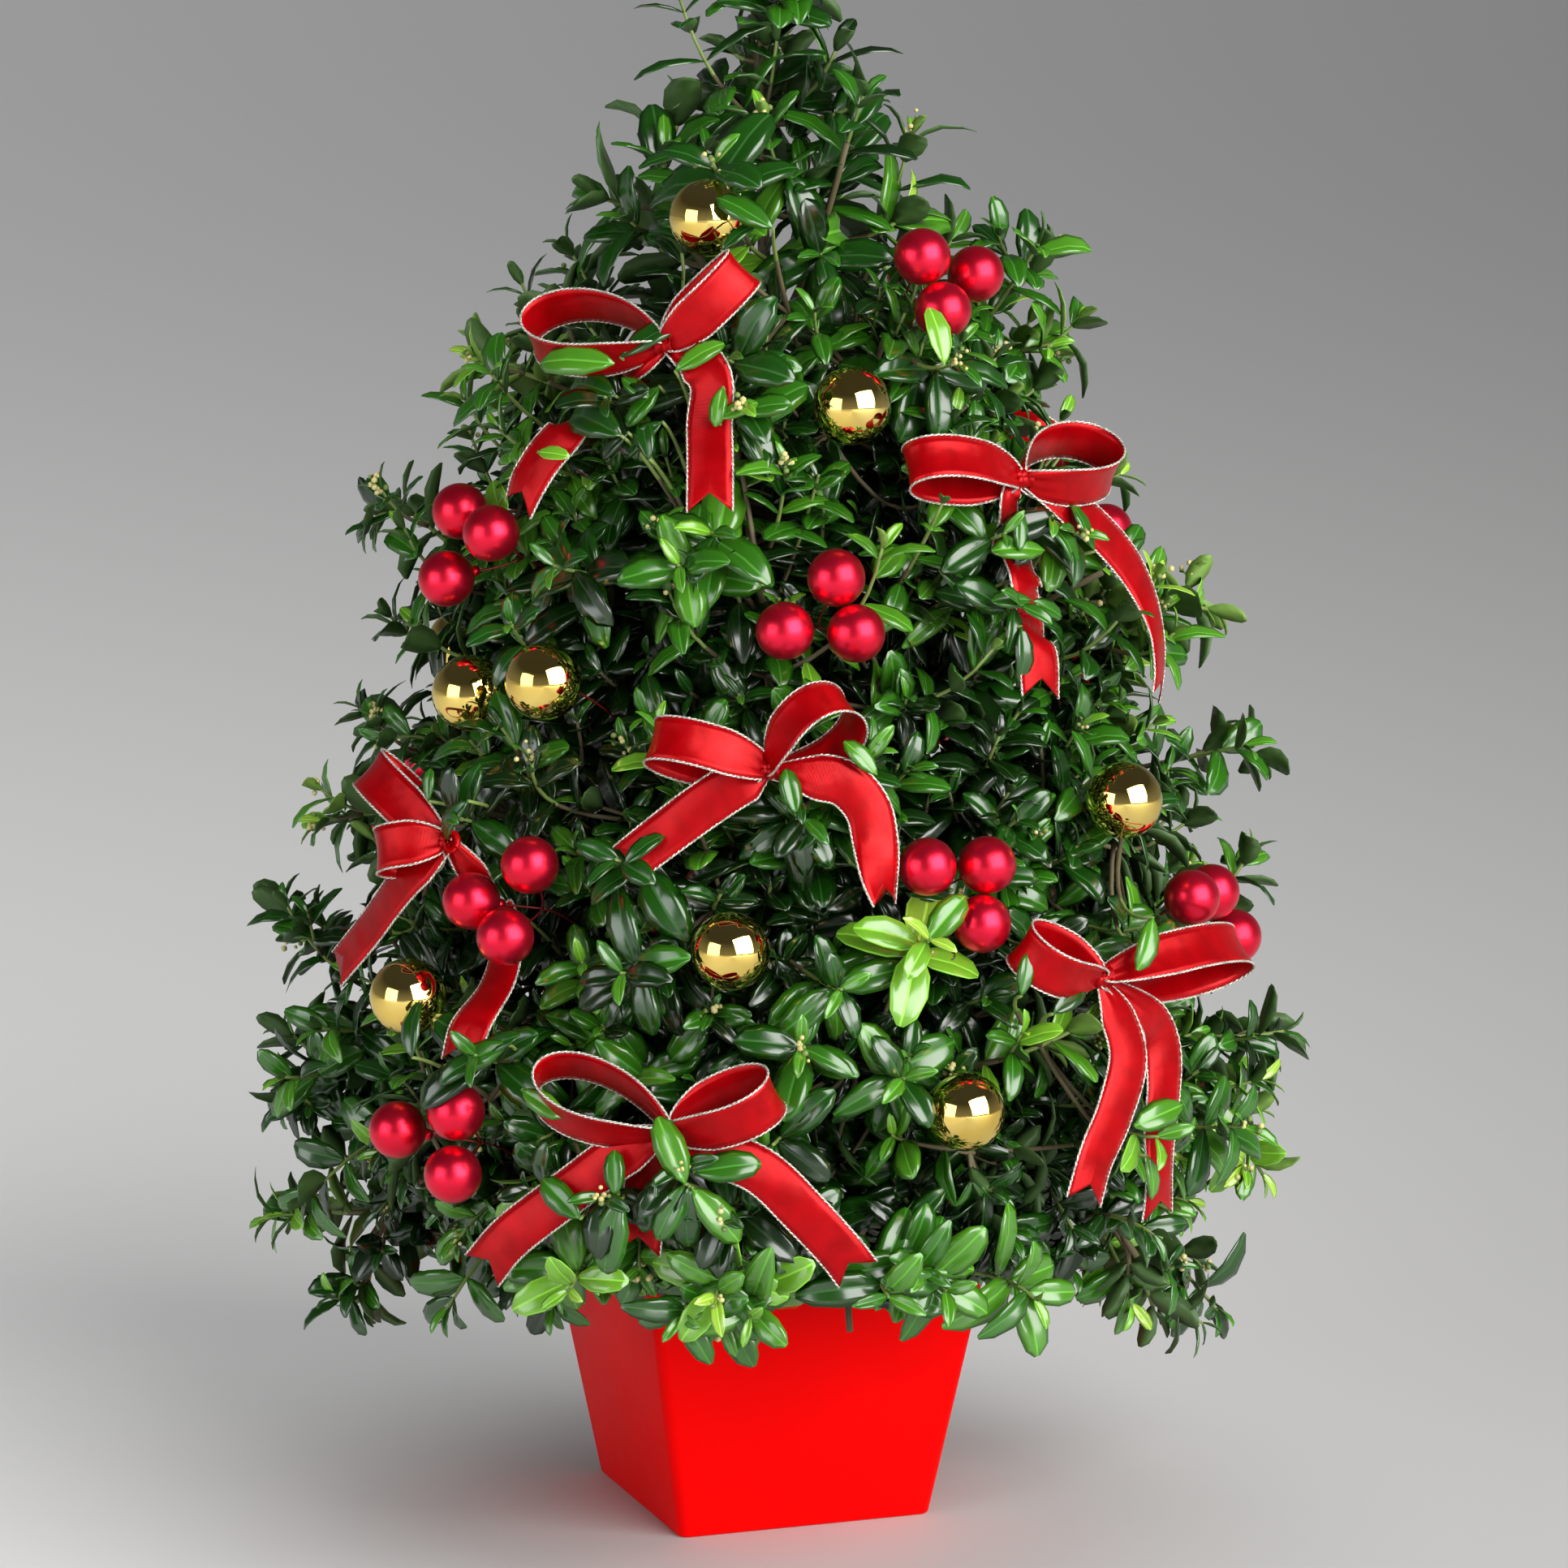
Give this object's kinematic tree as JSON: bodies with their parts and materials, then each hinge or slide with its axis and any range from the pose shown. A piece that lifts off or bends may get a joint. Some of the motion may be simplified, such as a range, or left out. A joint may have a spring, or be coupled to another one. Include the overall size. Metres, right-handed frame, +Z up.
{
  "type": "potted boxwood christmas tree",
  "caption": "Table-top cone of loosely clipped boxwood on one short trunk, in a square tapered red pot with a flat underside.",
  "frame": {"origin": "centre of the pot's flat underside, on the surface that the pot stands on", "axes": "+Z up along the trunk; X and Y run along the square pot's sides"},
  "size_m": [0.3864, 0.3809, 0.5519],
  "materials": {
    "pot": "smooth satin bright red",
    "soil": "damp crumbly potting mix",
    "bark": "grey-brown furrowed bark",
    "leaf": "glossy dark green leaf",
    "new_leaf": "glossy yellow-green young leaf",
    "green_stem": "olive green shoot",
    "flower_bud": "matte cream-green bud",
    "ribbon": "satin red ribbon",
    "ribbon_wire": "silver-white wired edge",
    "gold_ball": "polished gold mirror",
    "red_ball": "satin metallic red",
    "ball_wire": "thin lacquered wire"
  },
  "bodies": {
    "root": {"pot": "pot", "potting_soil": "soil", "trunk": "bark", "bough_skirt_1": "bark", "bough_skirt_2": "bark", "bough_skirt_3": "bark", "bough_skirt_4": "bark", "bough_skirt_5": "bark", "bough_skirt_6": "bark", "bough_skirt_7": "bark", "bough_lower_1": "bark", "bough_lower_2": "bark", "bough_lower_3": "bark", "bough_lower_4": "bark", "bough_lower_5": "bark", "bough_lower_6": "bark", "bough_middle_1": "bark", "bough_middle_2": "bark", "bough_middle_3": "bark", "bough_middle_4": "bark", "bough_middle_5": "bark", "bough_middle_6": "bark", "foliage_skirt_1": "leaf", "foliage_skirt_2": "leaf", "foliage_skirt_3": "leaf", "foliage_skirt_4": "leaf", "foliage_skirt_5": "leaf", "foliage_skirt_6": "leaf", "foliage_skirt_7": "leaf", "foliage_lower_1": "leaf", "foliage_lower_2": "leaf", "foliage_lower_3": "leaf", "foliage_lower_4": "leaf", "foliage_lower_5": "leaf", "foliage_lower_6": "leaf", "foliage_middle_1": "leaf", "foliage_middle_2": "leaf", "foliage_middle_3": "leaf", "foliage_middle_4": "leaf", "foliage_middle_5": "leaf", "foliage_middle_6": "leaf", "foliage_upper_1": "leaf", "foliage_upper_2": "leaf", "foliage_upper_3": "leaf", "foliage_upper_4": "leaf", "foliage_upper_5": "leaf", "foliage_shoulder_1": "leaf", "foliage_shoulder_2": "leaf", "foliage_shoulder_3": "leaf", "foliage_shoulder_4": "leaf", "foliage_top_1": "leaf", "foliage_top_2": "leaf", "foliage_top_3": "leaf", "foliage_leader": "leaf"}
  },
  "joints": []
}
